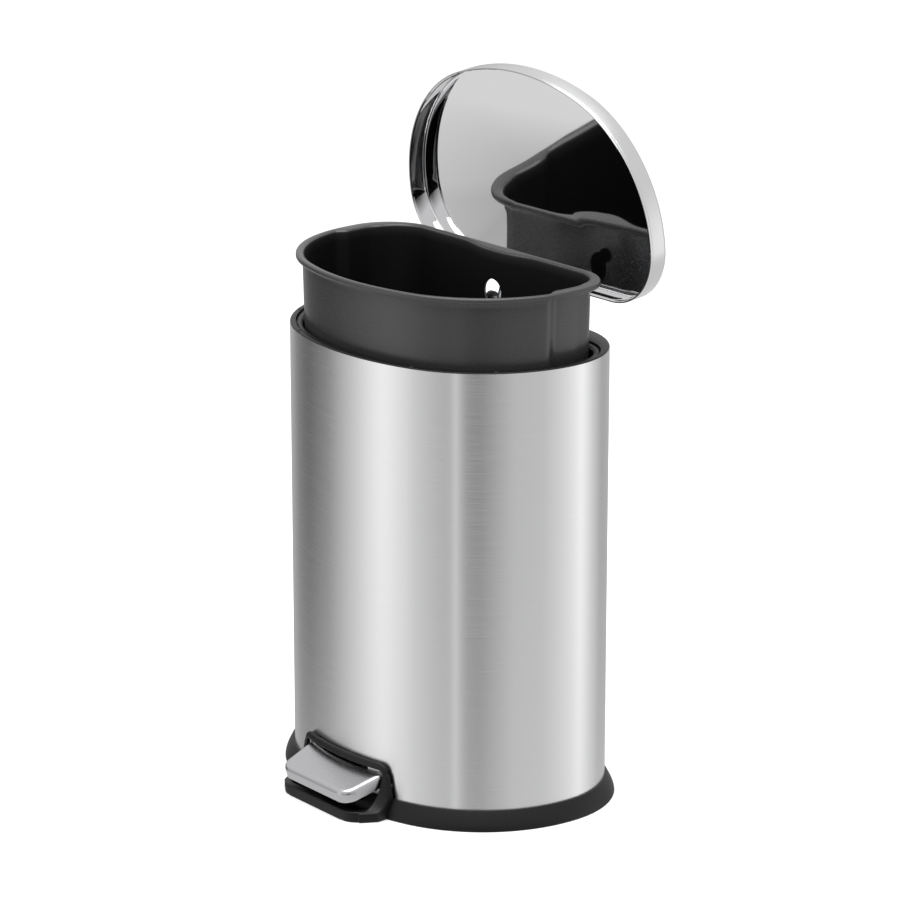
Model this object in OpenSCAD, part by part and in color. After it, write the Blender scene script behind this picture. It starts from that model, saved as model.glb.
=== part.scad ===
// Pedal trash can with a semi-round steel body, a lift-out bucket and a hinged steel lid.
// Front is -Y, +X is to the right seen from the front, the floor is z = 0.
// Everything is drawn with the lid open, the pedal pressed and the bucket lifted.

/* [Body] */
// Width of the steel body
body_w = 335; // [300:1:410]
// Depth of the steel body, front to back
body_d = 223.6; // [220:0.2:280]
// Height of the body's steel top edge above the floor
body_top = 427.2; // [420:0.2:520]
// Radius of the round sides
side_r = 130; // [110:1:132]
// Radius of the back corners
corner_r = 87.4; // [70:0.2:90]
// Thickness of the sheet steel
sheet_t = 0.8; // [0.5:0.1:1.2]

/* [Base] */
// Height of the base band above the floor
band_h = 17.5; // [14:0.5:22]
// How far the foot of the band stands out from the steel
flare = 8.5; // [4:0.1:11]
// Thickness of the base's floor and walls
base_t = 3; // [2.5:0.1:4]
// Height of the wall that plugs into the steel body
plug_h = 12; // [8:0.5:20]
// Depth of the recess that holds a rubber foot, flush with the underside
foot_sink = 2; // [1:0.1:2.4]
// Radius of a rubber foot
foot_r = 11; // [7:0.5:14]

/* [Top ring] */
// Width of the ring's outer lip
lip_w = 5.2; // [4:0.1:6]
// Height of the outer lip above the steel
lip_rise = 1.1; // [0.5:0.1:1.4]
// Depth of the shelf that the bucket hangs on, below the outer lip
shelf_drop = 1.6; // [1.2:0.1:3]
// Depth of the ring's skirt inside the body
ring_skirt = 22; // [15:1:40]

/* [Bucket] */
// Height of the bucket
bucket_h = 385; // [300:1:388]
// Wall of the bucket
bucket_t = 2; // [1.5:0.1:3]
// How far the rim stands out from the bucket's wall
rim_w = 6; // [5:0.1:8]
// Height of the rolled rim
rim_h = 5; // [4:0.1:6]
// Distance between the rim's back edge and the back of the body
bucket_gap = 27.6; // [27.2:0.1:40]
// Corner radius at the back of the rim
bucket_corner = 50; // [40:1:60]
// How far the bucket's wall leans in from rim to floor
bucket_lean = 8; // [0:0.5:12]
// Finger hole in the back wall
hole_d = 23; // [18:1:32]
// Depth of the finger hole's centre below the rim
hole_drop = 39.5; // [30:0.5:70]
// How far the bucket is lifted while the lid stands open
bucket_lift = 61.4; // [50:0.1:80]

/* [Lid] */
// Depth of the lid's skirt
lid_h = 19.6; // [15:0.1:28]
// Distance between the lid's back edge and the back of the body
lid_gap = 24.2; // [24:0.1:25.8]
// Corner radius at the back of the lid
lid_corner = 60; // [50:1:62]
// How far the lid overhangs the steel
lid_over = 1.5; // [0:0.1:3]
// Opening angle of the lid
lid_angle = 83; // [60:1:95]
// Width of the hem along the lid's edge
hem_w = 1.8; // [1:0.1:3]

/* [Hinge and linkage] */
// Height of the hinge axis above the lid's edge when shut (negative: below it)
axis_rise = -1.5; // [-1.8:0.1:4]
// Distance of the hinge axis behind the back of the body
axis_behind = 5.9; // [0:0.1:6]
// Diameter of the hinge pin
pin_d = 6; // [4:0.5:8]
// Half the width of the hinge housing
housing_w = 61.5; // [50:0.5:80]
// Length of the crank between the hinge axis and the push rod's pin
crank_r = 18; // [14:0.5:20]
// Diameter of the push rod
rod_d = 5; // [3:0.5:6]
// Diameter of the pins at both ends of the push rod
link_d = 4; // [3:0.5:5]

/* [Pedal] */
// Width of the pedal
pedal_w = 108; // [80:1:112]
// How much narrower each side of the pedal is at the front
pedal_taper = 4; // [0:0.5:8]
// Reach of the pedal in front of the body
pedal_reach = 36.5; // [30:0.5:40]
// Height of the pedal's turned-down apron
apron_h = 12; // [8:0.5:13]
// Slope of the pressed pedal
pedal_slope = 15.5; // [8:0.5:18]
// Height of the pedal's back edge above the floor
pedal_z = 39.5; // [38:0.5:42]
// Diameter of the pedal axle
axle_d = 8; // [6:0.5:10]
// Distance of the pedal axle behind the front of the body
axle_back = 22.7; // [20:0.1:60]
// Height of the pedal axle
axle_z = 30; // [28:0.5:31]
// Height of the shroud around the pedal
shroud_z = 50; // [48:0.2:60]

/* [Hidden] */

// Clearances: between fixed pieces, between moving pieces, and of a shaft in its bore
fit_gap = 0.3;
move_gap = 0.6;
bore_gap = 0.08;
// Through cuts reach this far past what they cut
past = 1;

// Plan of the body: round sides meet a flatter front arc, a flat back has round corners
half_w = body_w / 2;
back_y = body_d / 2;
// Beyond this share of the half width, more depth goes into straight sides
front_share = 0.9;
front_len = min(body_d - corner_r, front_share * half_w);
wide_y = front_len - back_y;
front_r = (pow(half_w - side_r, 2) + pow(front_len, 2) - pow(side_r, 2)) / (2 * (front_len - side_r));
front_cy = front_r - back_y;
join_a = atan2(front_cy - wide_y, half_w - side_r);
// Steps along the front, side and corner arcs
front_n = 10;
side_n = 16;
corner_n = 12;

// Heights
seat_z = band_h;
plug_top = band_h + plug_h;
lip_top = body_top + lip_rise;
shelf_z = lip_top - shelf_drop;
lid_z = body_top + 1.9;
lid_top = lid_z + lid_h;
hinge_z = lid_z + axis_rise;

// Insets from the body's outline
ring_in = sheet_t + fit_gap;
lip_in = ring_in + lip_w;
rim_in = lip_in + move_gap;
bucket_in = rim_in + rim_w;
shelf_in = bucket_in;
groove_w = 1.2;
lid_in = -lid_over;

// Bucket, seated
rim_top = shelf_z + 0.2 + rim_h;
bucket_z = rim_top - bucket_h;
bucket_back = back_y - bucket_gap + rim_in;
bucket_round = bucket_corner + rim_in;

// Lid, shut
lid_back = back_y - lid_gap + lid_in;
lid_round = lid_corner + lid_in;

// Hinge, crank and linkage
hinge_y = back_y + axis_behind;
eye_r = pin_d / 2 + 3;
crank_a = lid_angle / 2;
rod_y = hinge_y - crank_r * cos(crank_a);
rod_x = 5;
rod_travel = 2 * crank_r * sin(crank_a);
crank_end_r = link_d / 2 + 2.2;
crank_t = 3;
link_gap = 1;
link_t = 2;
link_x = crank_t / 2 + link_gap;
lever_len = rod_y + back_y - axle_back;
lever_a = asin(rod_travel / 2 / lever_len);
axle_y = axle_back - back_y;
tail_z = axle_z + rod_travel / 2;
top_pin_z = hinge_z + rod_travel / 2;
slot_len = crank_r * (1 - cos(crank_a));
tail_r = min(link_d / 2 + 3.5, back_y - sheet_t - move_gap - rod_y);
crank_slot = 4.5;

// Hinge housing
well_w = housing_w + 4.5;
well_y = back_y - 19.3;
housing_z = body_top - 9;
housing_front = well_y + fit_gap;
housing_back = hinge_y + 9.1;
ear_t = 4.5;
inner_ear_x = 12;
flange_w = 12.5;
flange_t = 2.2;
arm_x = 45;
arm_t = 2.5;
bracket_t = 1.5;
bracket_w = housing_w - 1.5;
bracket_z = lid_z + 2;
bracket_h = lid_h - 4.6;

// Pedal and lever
pedal_t = 1.2;
pedal_corner = 14;
pedal_gap = 2.2;
window_w = 34;
window_top = pedal_z + 7;
boss_x = 13;
boss_w = 9;
lever_w = 24;
plate_w = 48;
plate_t = 2.5;
shroud_t = 5.2;
shroud_edge = 6.5;
opening_w = pedal_w / 2 + 2;
shroud_top_w = opening_w + 5;
shroud_foot_w = opening_w + 9.5;
lip_front = back_y + pedal_reach - 4.5;
lip_z = 10;

function arc(cx, cy, r, a0, a1, n) =
    [for (i = [0:n]) let (a = a0 + (a1 - a0) * i / n) [cx + r * cos(a), cy + r * sin(a)]];

// The same line without a point that repeats the one before it
function distinct(p) =
    [for (i = [0:len(p) - 1]) if (norm(p[i] - p[(i + 1) % len(p)]) > 0.01) p[i]];

// Plan with its back edge at back and back corners of radius corner, moved in by inset
function dee(inset, back = back_y, corner = corner_r) = distinct(concat(
    arc(0, front_cy, front_r - inset, join_a - 180, -join_a, front_n),
    arc(half_w - side_r, wide_y, side_r - inset, -join_a, 0, side_n),
    arc(half_w - corner, back - corner, corner - inset, 0, 90, corner_n),
    arc(corner - half_w, back - corner, corner - inset, 90, 180, corner_n),
    arc(side_r - half_w, wide_y, side_r - inset, 180, 180 + join_a, side_n)));

function bucket_line(inset) = dee(inset, bucket_back, bucket_round);
function lid_line(inset) = dee(inset, lid_back, lid_round);

// A solid through a stack of plans of equal length; a stack that turns back down is hollow
module loft(levels) {
    n = len(levels[0][1]);
    last = len(levels) - 1;
    polyhedron(
        points = [for (l = levels) for (p = l[1]) [p.x, p.y, l[0]]],
        faces = concat(
            [[for (i = [0:n - 1]) i]],
            [[for (i = [n - 1:-1:0]) last * n + i]],
            [for (k = [0:last - 1]) for (i = [0:n - 1])
                [k * n + i, (k + 1) * n + i, (k + 1) * n + (i + 1) % n]],
            [for (k = [0:last - 1]) for (i = [0:n - 1])
                [k * n + i, (k + 1) * n + (i + 1) % n, k * n + (i + 1) % n]]));
}

module prism(line, z0, z1) {
    translate([0, 0, z0]) linear_extrude(z1 - z0) polygon(line);
}

module frame_of(outer, inner, z0, z1) {
    translate([0, 0, z0]) linear_extrude(z1 - z0) difference() {
        polygon(outer);
        polygon(inner);
    }
}

// A box given by its lowest and highest corners
module block(low, high) {
    translate(low) cube(high - low);
}

// A round bar along X
module bar_x(x0, x1, y, z, d) {
    translate([x0, y, z]) rotate([0, 90, 0]) cylinder(h = x1 - x0, d = d, $fn = 48);
}

// A flat piece drawn in the YZ plane, from x0 to x1
module side_plate(x0, x1) {
    translate([x0, 0, 0]) rotate([90, 0, 90]) linear_extrude(x1 - x0) children();
}

// A straight link with round ends, in the YZ plane
module link(p, q, r) {
    a = atan2(q.y - p.y, q.x - p.x);
    translate(p) circle(r, $fn = 48);
    translate(q) circle(r, $fn = 48);
    translate(p) rotate(a) translate([0, -0.97 * r]) square([norm(q - p), 1.94 * r]);
}

module screw(head_r, head_h, shank_r, length) {
    cylinder(h = head_h, r = head_r, $fn = 32);
    translate([0, 0, -length]) cylinder(h = length + head_h / 2, r = shank_r, $fn = 32);
}

// Turns what is drawn with the lid shut to its open place
module opened() {
    translate([0, hinge_y, hinge_z]) rotate([-lid_angle, 0, 0])
        translate([0, -hinge_y, -hinge_z]) children();
}

module body_shell() {
    color("silver") difference() {
        frame_of(dee(0), dee(sheet_t), seat_z, body_top);
        block([-window_w, -back_y - past, seat_z - past], [window_w, axle_y, window_top]);
        block([-well_w, well_y, housing_z - fit_gap], [well_w, back_y + past, body_top + past]);
        block([-crank_slot, well_y, hinge_z - crank_r], [crank_slot, back_y + past, body_top + past]);
        guide_places() translate([0, -past, 0]) rotate([-90, 0, 0])
            cylinder(h = 4, r = guide_screw_r + bore_gap, $fn = 32);
        shroud_places() rotate([90, 0, 0])
            translate([0, 0, -4]) cylinder(h = 8, r = shroud_screw_r + bore_gap, $fn = 32);
    }
}

foot_places = [[95, 78], [-95, 78], [95, -62], [-95, -62]];

module base() {
    color("#1c1c1e") difference() {
        union() {
            loft([
                [0, dee(-flare)],
                [3, dee(-0.93 * flare)],
                [band_h * 0.6, dee(-0.55 * flare)],
                [band_h * 0.85, dee(-0.25 * flare)],
                [seat_z, dee(-0.9)],
                [seat_z, dee(ring_in)],
                [plug_top, dee(ring_in)],
                [plug_top, dee(ring_in + base_t)],
                [base_t, dee(ring_in + base_t)]]);
            for (s = [-1, 1]) side_plate(s * boss_x + (s < 0 ? -boss_w : 0),
                s * boss_x + (s < 0 ? 0 : boss_w)) {
                translate([axle_y, axle_z]) circle(d = axle_d + 8, $fn = 48);
                translate([axle_y - axle_d / 2 - 4, base_t / 2])
                    square([axle_d + 8, axle_z - base_t / 2]);
            }
        }
        bar_x(-2 * boss_x - boss_w, 2 * boss_x + boss_w, axle_y, axle_z, axle_d + 2 * bore_gap);
        block([-window_w, -back_y - flare - past, lip_z], [window_w, -back_y + 6, plug_top + past]);
        block([-rod_x - 1, rod_y - tail_r, axle_z - rod_travel / 2 - tail_r - move_gap],
            [rod_x + 1, rod_y + tail_r + move_gap, plug_top + past]);
        for (p = foot_places) translate([p.x, p.y, -past])
            cylinder(h = foot_sink + past, r = foot_r + 0.1, $fn = 48);
        shroud_places() rotate([90, 0, 0])
            translate([0, 0, -12]) cylinder(h = 20, r = shroud_head_r + move_gap, $fn = 32);
    }
}

module rubber_feet() {
    color("#2b2b2b") for (p = foot_places) translate([p.x, p.y, 0])
        cylinder(h = foot_sink, r = foot_r, $fn = 48);
}

shroud_screw_r = 2;
shroud_head_r = 3.6;
shroud_screw_x = opening_w + 3.2;
on_side = shroud_screw_x > front_r * cos(join_a);
shroud_screw_c = on_side ? [half_w - side_r, wide_y] : [0, front_cy];
shroud_screw_arc = on_side ? side_r : front_r;
shroud_screw_a = asin((shroud_screw_x - shroud_screw_c.x) / shroud_screw_arc);

// Places on the front of the steel, turned square to it
module shroud_places() {
    for (s = [-1, 1]) translate([s * shroud_screw_c.x, shroud_screw_c.y, 0])
        rotate([0, 0, s * shroud_screw_a])
            translate([0, -shroud_screw_arc, (seat_z + shroud_z) / 2 - 5]) children();
}

module pedal_shroud() {
    pad = sheet_t / 2;
    color("#19191b") difference() {
        union() {
            intersection() {
                frame_of(dee(-shroud_t), dee(-pad), seat_z + pad, shroud_z);
                translate([0, wide_y, 0]) rotate([90, 0, 0]) linear_extrude(body_w)
                    polygon([[-shroud_foot_w, 0], [shroud_foot_w, 0], [shroud_foot_w, seat_z],
                        [shroud_top_w, shroud_z], [-shroud_top_w, shroud_z], [-shroud_foot_w, seat_z]]);
            }
            difference() {
                union() {
                    prism(pedal_line(opening_w + 5, lip_front, pedal_corner + 4), 0, lip_z);
                    for (s = [-1, 1]) block(
                        [s * (opening_w + 2.5) - 2.5, -back_y - 14, 0],
                        [s * (opening_w + 2.5) + 2.5, wide_y, pedal_z - 2]);
                }
                prism(dee(-flare - 0.4), -past, seat_z + pad);
                prism(dee(-pad), seat_z, shroud_z + past);
            }
        }
        block([-opening_w, -lip_front - past, lip_z], [opening_w, wide_y, shroud_z - shroud_edge]);
        shroud_places() rotate([90, 0, 0])
            cylinder(h = 3.9, r = shroud_screw_r + bore_gap, $fn = 32);
    }
}

module shroud_screws() {
    color("silver") shroud_places() translate([0, sheet_t + fit_gap, 0]) rotate([-90, 0, 0])
        screw(shroud_head_r, 2.2, shroud_screw_r, 3.6 + sheet_t);
}

module pedal_axle() {
    color("silver") bar_x(-boss_x - boss_w - 3.5, boss_x + boss_w + 3.5, axle_y, axle_z, axle_d);
}

clip_t = 1;

module axle_clips() {
    color("#3a3a3c") for (s = [-1, 1]) difference() {
        bar_x(s * (boss_x + boss_w + 1) - clip_t / 2, s * (boss_x + boss_w + 1) + clip_t / 2,
            axle_y, axle_z, axle_d + 6);
        bar_x(-body_w, body_w, axle_y, axle_z, axle_d + 0.1);
    }
}

// Plan of the pedal and of the lip below it: sides draw in to round front corners
function pedal_line(half, reach, corner) = let (front = half - pedal_taper) concat(
    [[half, -back_y + 8]], [[-half, -back_y + 8]],
    arc(-front + corner, -reach + corner, corner, 180, 270, 8),
    arc(front - corner, -reach + corner, corner, 270, 360, 8));

// Tilts what is drawn level, hanging from the pedal's top at z = 0, to the pedal's slope
module sloped() {
    translate([0, -back_y + 2.5, pedal_z]) rotate([pedal_slope, 0, 0])
        translate([0, back_y - 2.5, 0]) children();
}

pedal_front = back_y - 2.5 + (pedal_reach + 2.5) / cos(pedal_slope);

module pedal_cap() {
    color("silver") difference() {
        sloped() difference() {
            prism(pedal_line(pedal_w / 2, pedal_front, pedal_corner), -apron_h, 0);
            prism([for (p = pedal_line(pedal_w / 2 - pedal_t, pedal_front - pedal_t,
                pedal_corner - pedal_t)) [p.x, p.y > -back_y ? p.y + past : p.y]], -apron_h - past, -pedal_t);
        }
        translate([0, front_cy, 0]) cylinder(h = body_top, r = front_r + pedal_gap, $fn = 180);
    }
}

module pedal_lever() {
    tail_y = axle_y + lever_len * cos(lever_a);
    color("#8d8f92") difference() {
        union() {
            bar_x(-boss_x + move_gap, boss_x - move_gap, axle_y, axle_z, axle_d + 6);
            side_plate(-9, 9) link([axle_y, axle_z], [tail_y - 14, tail_z - 14 * sin(lever_a)], 2);
            side_plate(-crank_t / 2, crank_t / 2)
                link([tail_y - 22, tail_z - 22 * sin(lever_a)], [tail_y, tail_z], tail_r);
            side_plate(-lever_w / 2, lever_w / 2)
                link([axle_y, axle_z + 3], [-back_y + 1, pedal_z - 3.6], 1.5);
            sloped() translate([-plate_w / 2, -pedal_front + 8, -pedal_t - plate_t])
                cube([plate_w, pedal_front - back_y - 8 + 1.5, plate_t]);
        }
        bar_x(-body_w, body_w, axle_y, axle_z, axle_d + 2 * bore_gap);
        side_plate(-crank_t, crank_t)
            link([tail_y - 0.6, tail_z], [tail_y + 1, tail_z], link_d / 2 + fit_gap);
    }
}

spring_r = 5;
spring_wire = 1.2;
spring_turns = 5;
spring_y = axle_y - 13;
spring_z0 = base_t + 0.1;
spring_z1 = axle_z + 1.3 + (pedal_z - axle_z - 6.6) * (axle_y - spring_y) / (axle_back - 1);

// A round wire wound about Z
module pedal_spring() {
    rings = spring_turns * 14;
    sides = 8;
    low = spring_z0 + spring_wire / 2;
    high = spring_z1 - spring_wire / 2;
    color("silver") translate([0, spring_y, 0]) polyhedron(
        points = [for (i = [0:rings]) let (
                a = 360 * spring_turns * i / rings,
                z = low + (high - low) * i / rings)
            for (j = [0:sides - 1]) let (b = 360 * j / sides, r = spring_r + spring_wire / 2 * cos(b))
                [r * cos(a), r * sin(a), z + spring_wire / 2 * sin(b)]],
        faces = concat(
            [[for (j = [0:sides - 1]) j]],
            [[for (j = [sides - 1:-1:0]) rings * sides + j]],
            [for (i = [0:rings - 1]) for (j = [0:sides - 1])
                [i * sides + j, (i + 1) * sides + j, (i + 1) * sides + (j + 1) % sides,
                 i * sides + (j + 1) % sides]]));
}

module push_rod() {
    color("silver") difference() {
        union() {
            translate([rod_x, rod_y, tail_z]) cylinder(h = top_pin_z - tail_z - 3, d = rod_d, $fn = 32);
            side_plate(link_x, link_x + link_t) {
                link([rod_y, tail_z], [rod_y, tail_z + 12], link_d / 2 + 2.4);
                link([rod_y - slot_len, top_pin_z], [rod_y, top_pin_z], link_d / 2 + 2.8);
                link([rod_y, top_pin_z - 14], [rod_y, top_pin_z], link_d / 2 + 1);
            }
        }
        bar_x(0, 2 * rod_x, rod_y, tail_z, link_d + 2 * bore_gap);
        side_plate(0, 2 * rod_x)
            link([rod_y - slot_len - 0.3, top_pin_z], [rod_y + 0.3, top_pin_z], link_d / 2 + 0.7);
    }
}

module rod_pin() {
    color("silver") bar_x(-crank_t / 2 - 2, rod_x - 0.1, rod_y, tail_z, link_d);
    color("silver") bar_x(-crank_t / 2 - 3, -crank_t / 2 - 1.2, rod_y, tail_z, link_d + 3);
}

guide_heights = [150, 300];
guide_screw_r = 2;

module guide_places() {
    for (z = guide_heights) translate([rod_x, back_y - sheet_t, z]) children();
}

module rod_guides() {
    depth = back_y - sheet_t - 0.1 - rod_y + rod_d / 2 + 2;
    color("#242426") for (z = guide_heights) difference() {
        translate([rod_x - 8, rod_y - rod_d / 2 - 2, z - 6]) cube([16, depth, 12]);
        translate([rod_x, rod_y, z - 10]) cylinder(h = 20, d = rod_d + 2 * bore_gap, $fn = 48);
        translate([rod_x, back_y, z]) rotate([90, 0, 0])
            cylinder(h = sheet_t + 8, r = guide_screw_r + bore_gap, $fn = 32);
    }
}

module guide_screws() {
    color("silver") guide_places() translate([0, sheet_t, 0]) rotate([-90, 0, 0])
        screw(3.6, 1.6, guide_screw_r, back_y - rod_y - rod_d / 2 - 1.2);
}

module top_ring() {
    color("#161618") difference() {
        union() {
            frame_of(dee(ring_in), dee(ring_in + 2), shelf_z - ring_skirt, shelf_z);
            frame_of(dee(ring_in), bucket_line(shelf_in), shelf_z - 4, shelf_z);
            frame_of(dee(ring_in), bucket_line(lip_in), shelf_z - 1, lip_top);
            frame_of(bucket_line(shelf_in - 1.6), bucket_line(shelf_in), shelf_z - 12, shelf_z);
        }
        frame_of(bucket_line(lip_in), bucket_line(lip_in + groove_w), shelf_z - 2, shelf_z + past);
        block([-well_w, well_y, shelf_z - ring_skirt - past], [well_w, back_y + past, lip_top + past]);
        block([-8.5, back_y - bucket_gap - 1.7, shelf_z - ring_skirt], [8.5, well_y + past, lip_top + past]);
        for (s = [-1, 1]) translate([s * housing_screw_x, housing_screw_y, shelf_z - 10])
            cylinder(h = 20, r = housing_screw_r + bore_gap, $fn = 32);
        bumper_places() translate([0, 0, -3.2]) cylinder(h = 4, r = 1 + bore_gap, $fn = 24);
    }
}

housing_screw_x = housing_w + flange_w - 4.5;
housing_screw_y = housing_front + 6;
housing_screw_r = 1.6;
flange_z = lip_top + 0.1;

module hinge_housing() {
    inside = housing_w - ear_t;
    color("#202022") difference() {
        union() {
            block([-housing_w, housing_front, housing_z], [housing_w, housing_back, housing_z + base_t]);
            block([-housing_w, housing_front, housing_z], [housing_w, housing_front + base_t, lip_top - 2]);
            block([-housing_w, housing_back - 2.5, housing_z], [housing_w, housing_back, hinge_z - 3]);
            for (s = [-1, 1]) {
                block([s * (housing_w - ear_t / 2) - ear_t / 2, housing_front, housing_z],
                    [s * (housing_w - ear_t / 2) + ear_t / 2, hinge_y, flange_z + flange_t]);
                block([s * (housing_w + flange_w / 2 - 1) - flange_w / 2 - 1, housing_front + 1, flange_z],
                    [s * (housing_w + flange_w / 2 - 1) + flange_w / 2 + 1, housing_front + 11,
                     flange_z + flange_t]);
                ear(s * (housing_w - ear_t / 2));
                ear(s * (inner_ear_x + ear_t / 2));
            }
        }
        bar_x(-body_w, body_w, hinge_y, hinge_z, pin_d + 0.04);
        block([-inner_ear_x + 3, housing_front - past, housing_z - past],
            [inner_ear_x - 3, hinge_y + 7, housing_z + 2 * base_t + 5]);
        for (s = [-1, 1]) translate([s * housing_screw_x, housing_screw_y, flange_z - past])
            cylinder(h = 10, r = housing_screw_r + bore_gap, $fn = 32);
    }
}

// An upright that holds the hinge pin, centred on x
module ear(x) {
    side_plate(x - ear_t / 2, x + ear_t / 2) {
        translate([hinge_y, hinge_z]) circle(7, $fn = 48);
        translate([hinge_y - 6.9, housing_z]) square([13.8, hinge_z - housing_z]);
    }
}

module housing_screws() {
    color("silver") for (s = [-1, 1])
        translate([s * housing_screw_x, housing_screw_y, flange_z + flange_t])
            screw(3.2, 1.8, housing_screw_r, 12);
}

module hinge_pin() {
    color("silver") bar_x(-housing_w - 2.5, housing_w + 2.5, hinge_y, hinge_z, pin_d);
}

module pin_clips() {
    color("#3a3a3c") for (s = [-1, 1]) difference() {
        bar_x(s * (housing_w + 1) - clip_t / 2, s * (housing_w + 1) + clip_t / 2,
            hinge_y, hinge_z, pin_d + 5);
        bar_x(-body_w, body_w, hinge_y, hinge_z, pin_d + 0.1);
    }
}

bumper_angles = [-55, -20, 20, 55];

// Places along the middle of the ring's outer lip, at its top
module bumper_places() {
    for (a = bumper_angles) let (p = front_point(a)) translate([p.x, p.y, lip_top]) children();
}

// A point on the middle of the outer lip, a degrees from the front about the side arc's centre
function front_point(a) = abs(a) < 90 - join_a
    ? [(front_r - (ring_in + lip_in) / 2) * sin(a), front_cy - (front_r - (ring_in + lip_in) / 2) * cos(a)]
    : [sign(a) * (half_w - side_r) + (side_r - (ring_in + lip_in) / 2) * sin(a),
       wide_y - (side_r - (ring_in + lip_in) / 2) * cos(a)];

module lid_bumpers() {
    color("#2b2b2b") bumper_places() {
        cylinder(h = 0.5, r = 1.8, $fn = 24);
        translate([0, 0, -3]) cylinder(h = 3.2, r = 1, $fn = 24);
    }
}

module lid_shell() {
    inner = lid_in + sheet_t;
    edge = 1.4;
    color("#d9dadb") opened() difference() {
        loft([
            [lid_top - sheet_t, lid_line(inner + edge)],
            [lid_top - sheet_t - edge, lid_line(inner)],
            [lid_z + 2.2, lid_line(inner)],
            [lid_z + 2.2, lid_line(lid_in + hem_w)],
            [lid_z, lid_line(lid_in + hem_w)],
            [lid_z, lid_line(lid_in)],
            [lid_top - edge, lid_line(lid_in)],
            [lid_top - edge / 3, lid_line(lid_in + edge / 3)],
            [lid_top, lid_line(lid_in + edge)]]);
        rivet_places() translate([0, 3, 0]) rotate([90, 0, 0])
            cylinder(h = 8, r = rivet_r + bore_gap, $fn = 24);
    }
}

rivet_r = 1.6;
rivet_xs = [-54, -24, 24, 54];

// Places on the outside of the lid's back skirt, lid shut
module rivet_places() {
    for (x = rivet_xs) translate([x, lid_back - lid_in, bracket_z + bracket_h / 2]) children();
}

module lid_bracket() {
    skin_y = lid_back - lid_in;
    color("#9a9c9f") opened() difference() {
        union() {
            block([-bracket_w, skin_y, bracket_z], [bracket_w, skin_y + bracket_t, bracket_z + bracket_h]);
            for (x = [-arm_x, 0, arm_x]) side_plate(x - arm_t / 2, x + arm_t / 2)
                link([hinge_y, hinge_z], [skin_y + eye_r + 0.7, bracket_z + bracket_h / 2], eye_r);
            side_plate(-crank_t / 2, crank_t / 2)
                link([hinge_y, hinge_z], [rod_y, hinge_z - rod_travel / 2], crank_end_r);
        }
        bar_x(-body_w, body_w, hinge_y, hinge_z, pin_d + 2 * bore_gap);
        bar_x(-crank_t, crank_t, rod_y, hinge_z - rod_travel / 2, link_d + 0.04);
        rivet_places() translate([0, 3, 0]) rotate([90, 0, 0])
            cylinder(h = 8, r = rivet_r + bore_gap, $fn = 24);
    }
}

module lid_rivets() {
    color("silver") opened() rivet_places() {
        translate([0, bracket_t, 0]) rotate([-90, 0, 0])
            screw(3, 1, rivet_r, bracket_t + sheet_t + 0.8);
        translate([0, -sheet_t - 0.9, 0]) rotate([-90, 0, 0]) cylinder(h = 0.8, r = 2.6, $fn = 24);
    }
}

module crank_pin() {
    crank_z = hinge_z - rod_travel / 2;
    color("silver") opened() {
        bar_x(-crank_t / 2 - 1, link_x + link_t + 1.5, rod_y, crank_z, link_d);
        bar_x(-crank_t / 2 - 1.5, -crank_t / 2 - 0.1, rod_y, crank_z, link_d + 2.4);
    }
}

module bucket() {
    wall = bucket_in;
    foot = bucket_in + bucket_lean;
    color("#3b3c3f") translate([0, 0, bucket_lift]) difference() {
        loft([
            [bucket_z, bucket_line(foot + 3)],
            [bucket_z + 3, bucket_line(foot)],
            [rim_top - rim_h + 0.8, bucket_line(wall + 0.5)],
            [rim_top - rim_h, bucket_line(wall - 1)],
            [rim_top - rim_h, bucket_line(rim_in + 1)],
            [rim_top - rim_h + 1.2, bucket_line(rim_in)],
            [rim_top - 1.6, bucket_line(rim_in)],
            [rim_top, bucket_line(rim_in + 1.6)],
            [rim_top, bucket_line(wall + 0.6)],
            [rim_top - 1.8, bucket_line(wall + bucket_t + 0.5)],
            [bucket_z + 5, bucket_line(foot + bucket_t)],
            [bucket_z + 2.6, bucket_line(foot + bucket_t + 2.4)]]);
        translate([0, bucket_back, rim_top - hole_drop]) rotate([90, 0, 0])
            cylinder(h = 40, d = hole_d, $fn = 64);
    }
}

body_shell();
base();
rubber_feet();
pedal_shroud();
shroud_screws();
pedal_axle();
axle_clips();
pedal_cap();
pedal_lever();
pedal_spring();
push_rod();
rod_pin();
rod_guides();
guide_screws();
top_ring();
hinge_housing();
housing_screws();
hinge_pin();
pin_clips();
lid_bumpers();
lid_shell();
lid_bracket();
lid_rivets();
crank_pin();
bucket();
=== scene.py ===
import math

import bmesh
import bpy
from mathutils import Matrix, Vector


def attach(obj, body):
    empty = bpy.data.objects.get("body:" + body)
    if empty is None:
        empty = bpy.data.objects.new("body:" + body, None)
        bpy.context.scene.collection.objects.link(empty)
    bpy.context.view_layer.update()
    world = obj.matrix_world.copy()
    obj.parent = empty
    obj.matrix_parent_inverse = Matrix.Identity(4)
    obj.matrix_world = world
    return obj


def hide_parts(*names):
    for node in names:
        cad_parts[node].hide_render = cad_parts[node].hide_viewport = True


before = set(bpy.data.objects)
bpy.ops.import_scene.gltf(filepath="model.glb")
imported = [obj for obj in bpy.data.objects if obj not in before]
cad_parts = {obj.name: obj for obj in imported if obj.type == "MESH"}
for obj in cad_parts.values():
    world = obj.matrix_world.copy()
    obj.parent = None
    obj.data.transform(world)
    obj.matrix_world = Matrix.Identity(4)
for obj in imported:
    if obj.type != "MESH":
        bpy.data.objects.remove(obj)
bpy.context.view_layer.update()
mm = 0.001


def clamp(value):
    return max(0.0, min(1.0, value))


def ease(value):
    t = clamp(value)
    return t * t * (3 - 2 * t)


def linear(code):
    parts = [int(code[i:i + 2], 16) / 255 for i in (1, 3, 5)]
    return [c / 12.92 if c <= 0.04045 else ((c + 0.055) / 1.055) ** 2.4 for c in parts] + [1.0]


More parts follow.
